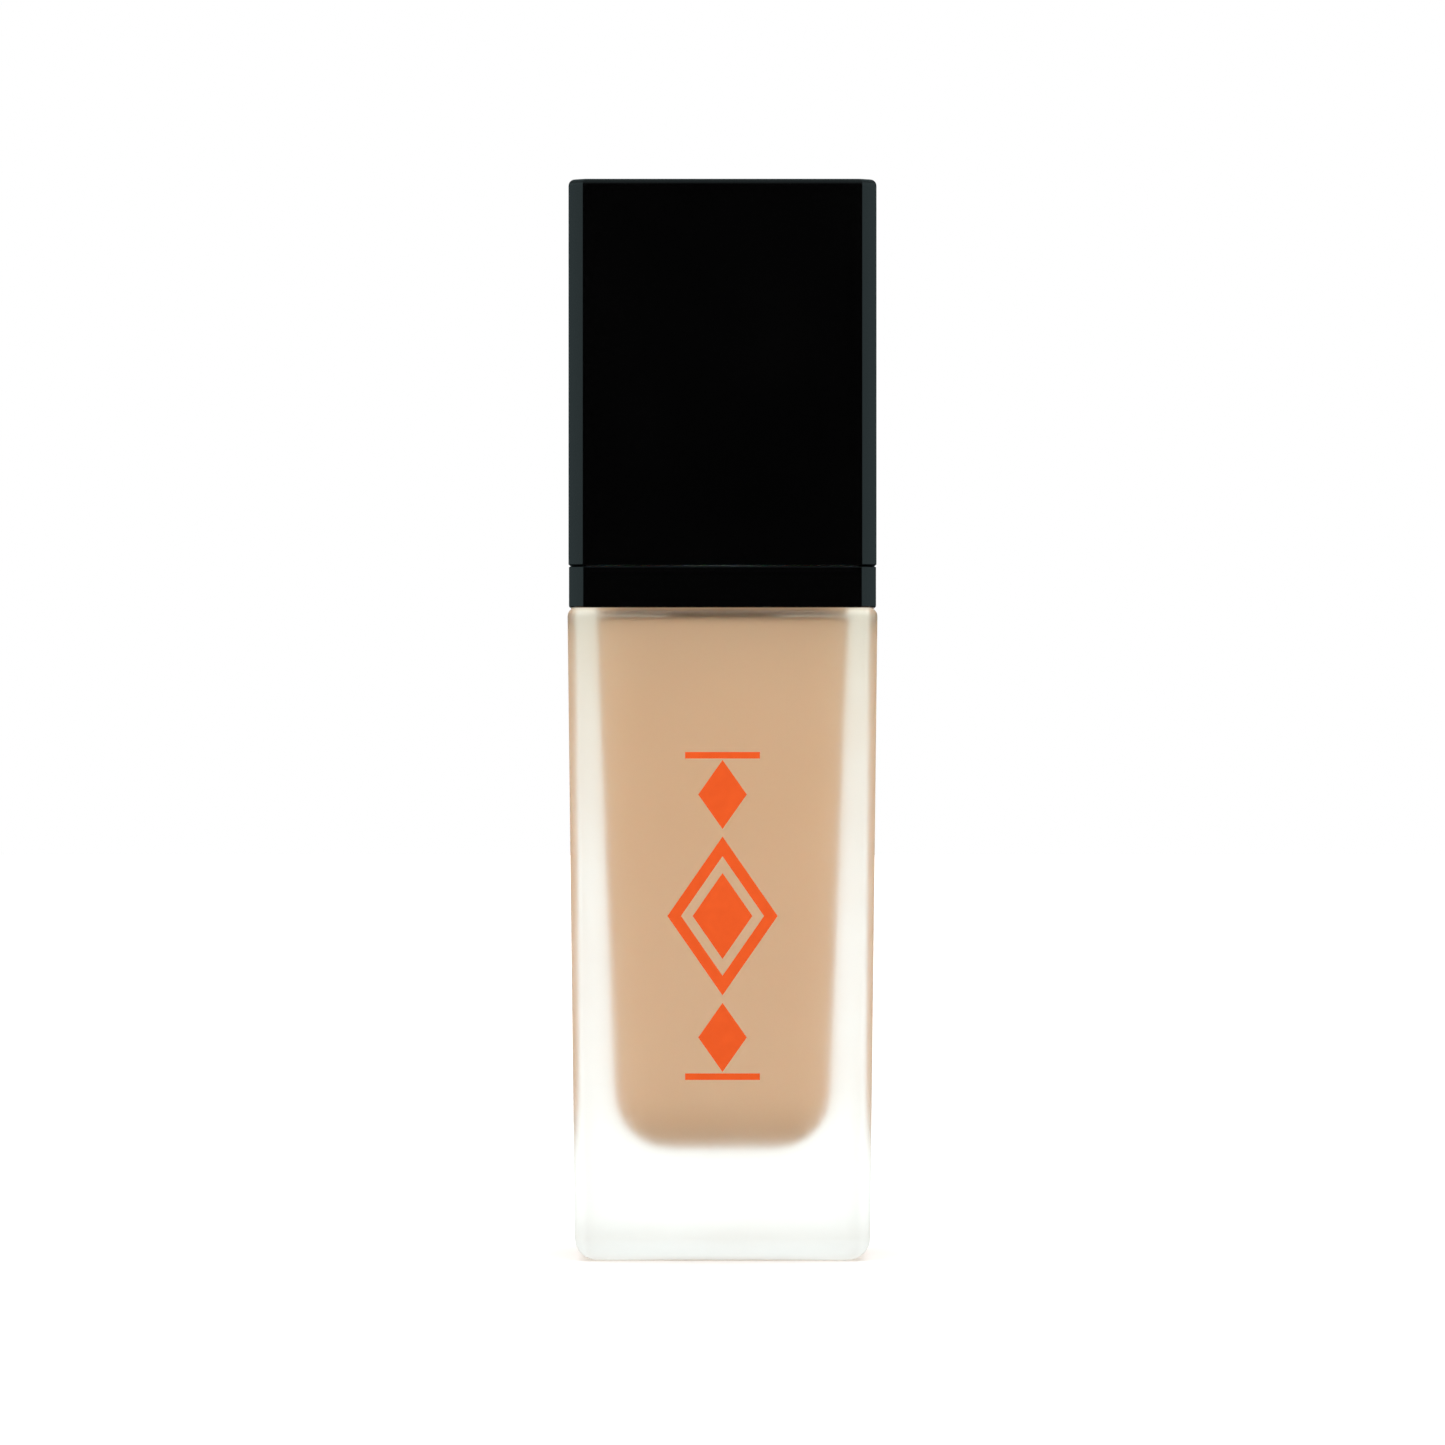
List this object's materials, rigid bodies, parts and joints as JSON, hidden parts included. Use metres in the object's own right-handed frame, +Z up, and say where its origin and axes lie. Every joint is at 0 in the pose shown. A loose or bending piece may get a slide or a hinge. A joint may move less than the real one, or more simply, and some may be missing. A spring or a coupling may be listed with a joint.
{
  "type": "foundation bottle",
  "caption": "Tall square frosted-glass cosmetic bottle with a heavy base, a screw-on pump under a square black pull-off overcap, and liquid foundation inside.",
  "frame": {"origin": "middle of the base, at the height of the surface that the bottle stands on", "axes": "+Z up along the bottle's axis, front face with the print towards -Y, +X to the right seen from the front"},
  "size_m": [0.0332, 0.0332, 0.1159],
  "materials": {
    "frosted_glass": "satin",
    "foundation": "satin",
    "orange_ink": "satin",
    "label_film": "matte",
    "black_gloss": "gloss",
    "black_satin": "satin",
    "natural_pp": "satin",
    "white_pp": "satin",
    "soft_pe": "matte",
    "clear_pe": "satin",
    "spring_steel": "polished",
    "ball_steel": "polished"
  },
  "bodies": {
    "bottle": {"glass_bottle": "frosted_glass", "foundation_fill": "foundation", "front_print": "orange_ink", "base_label": "label_film", "shoulder_collar": "black_gloss"},
    "overcap": {"overcap_shell": "black_gloss", "overcap_liner": "natural_pp"},
    "pump": {"neck_gasket": "soft_pe", "pump_housing": "natural_pp", "stem_guide": "white_pp", "dip_tube": "clear_pe", "return_spring": "spring_steel"},
    "closure": {"pump_closure": "natural_pp", "closure_sleeve": "black_gloss"},
    "stem": {"pump_stem": "white_pp", "piston_rod": "white_pp"},
    "piston": {"piston": "soft_pe"},
    "actuator": {"actuator_head": "black_gloss", "nozzle_insert": "black_satin"},
    "ball": {"inlet_ball": "ball_steel"}
  },
  "joints": [
    {"name": "overcap_lift", "type": "slide", "parent": "bottle", "child": "overcap", "axis": [0, 0, 1], "range_m": [0, 0.045]},
    {"name": "pump_lift", "type": "slide", "parent": "bottle", "child": "pump", "axis": [0, 0, 1], "range_m": [0, 0.00476]},
    {"name": "closure_turn", "type": "hinge", "parent": "pump", "child": "closure", "pos_m": [0, 0, 0.08], "axis": [0, 0, 1], "range_deg": [0, 540]},
    {"name": "actuator_press", "type": "slide", "parent": "pump", "child": "stem", "axis": [0, 0, -1], "range_m": [0, 0.0045], "stiffness_N_per_m": 1600, "springref_m": -0.004, "deforming": ["return_spring"]},
    {"name": "piston_float", "type": "slide", "parent": "stem", "child": "piston", "axis": [0, 0, 1], "range_m": [0, 0.00061]},
    {"name": "actuator_turn", "type": "hinge", "parent": "stem", "child": "actuator", "pos_m": [0, 0, 0.1], "axis": [0, 0, 1], "continuous": true},
    {"name": "ball_lift", "type": "slide", "parent": "pump", "child": "ball", "axis": [0, 0, 1], "range_m": [0, 0.0008]}
  ],
  "couplings": [
    {"joint": "closure_turn", "follows": "pump_lift", "rad_per_m": 1979},
    {"joint": "piston_float", "follows": "actuator_press", "ratio": 0.13333}
  ]
}
